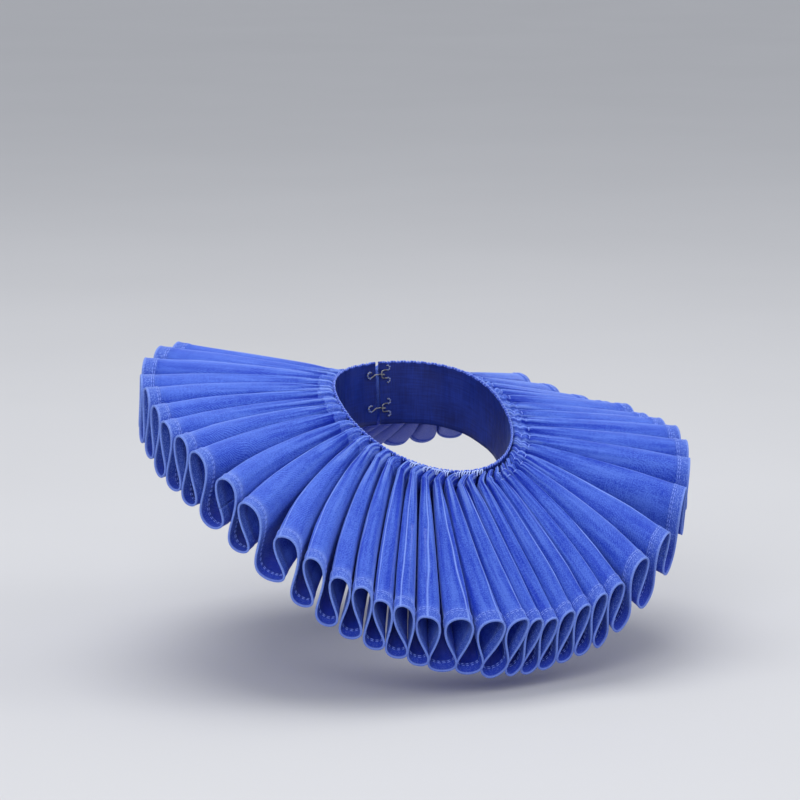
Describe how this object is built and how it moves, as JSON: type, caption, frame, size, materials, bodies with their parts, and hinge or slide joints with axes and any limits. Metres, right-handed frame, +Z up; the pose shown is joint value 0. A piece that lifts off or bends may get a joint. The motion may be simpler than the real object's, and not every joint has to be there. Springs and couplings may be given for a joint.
{
  "type": "ruff collar",
  "caption": "Worn ruff collar: a long hemmed strip of stiff sheer blue cloth in deep figure-of-eight pleats on a neck band, closed at the back by hooks and eyes.",
  "frame": {"origin": "middle of the neck opening, in the plane of the pleats' top inner ends, on the axis of the neck", "axes": "+Z up along the neck, the wearer faces -Y, +X is the wearer's left"},
  "size_m": [0.3845, 0.3458, 0.1942],
  "materials": {
    "frill_cloth": "sheer stiff organza with a soft sheen",
    "band_cloth": "satin ribbon",
    "hook_wire": "dull bent wire"
  },
  "bodies": {
    "root": {"frill_1": "frill_cloth", "frill_2": "frill_cloth", "frill_3": "frill_cloth", "frill_4": "frill_cloth", "frill_5": "frill_cloth", "frill_6": "frill_cloth", "frill_7": "frill_cloth", "frill_8": "frill_cloth", "neck_band": "band_cloth", "hook_1": "hook_wire", "hook_2": "hook_wire", "eye_1": "hook_wire", "eye_2": "hook_wire"}
  },
  "joints": []
}
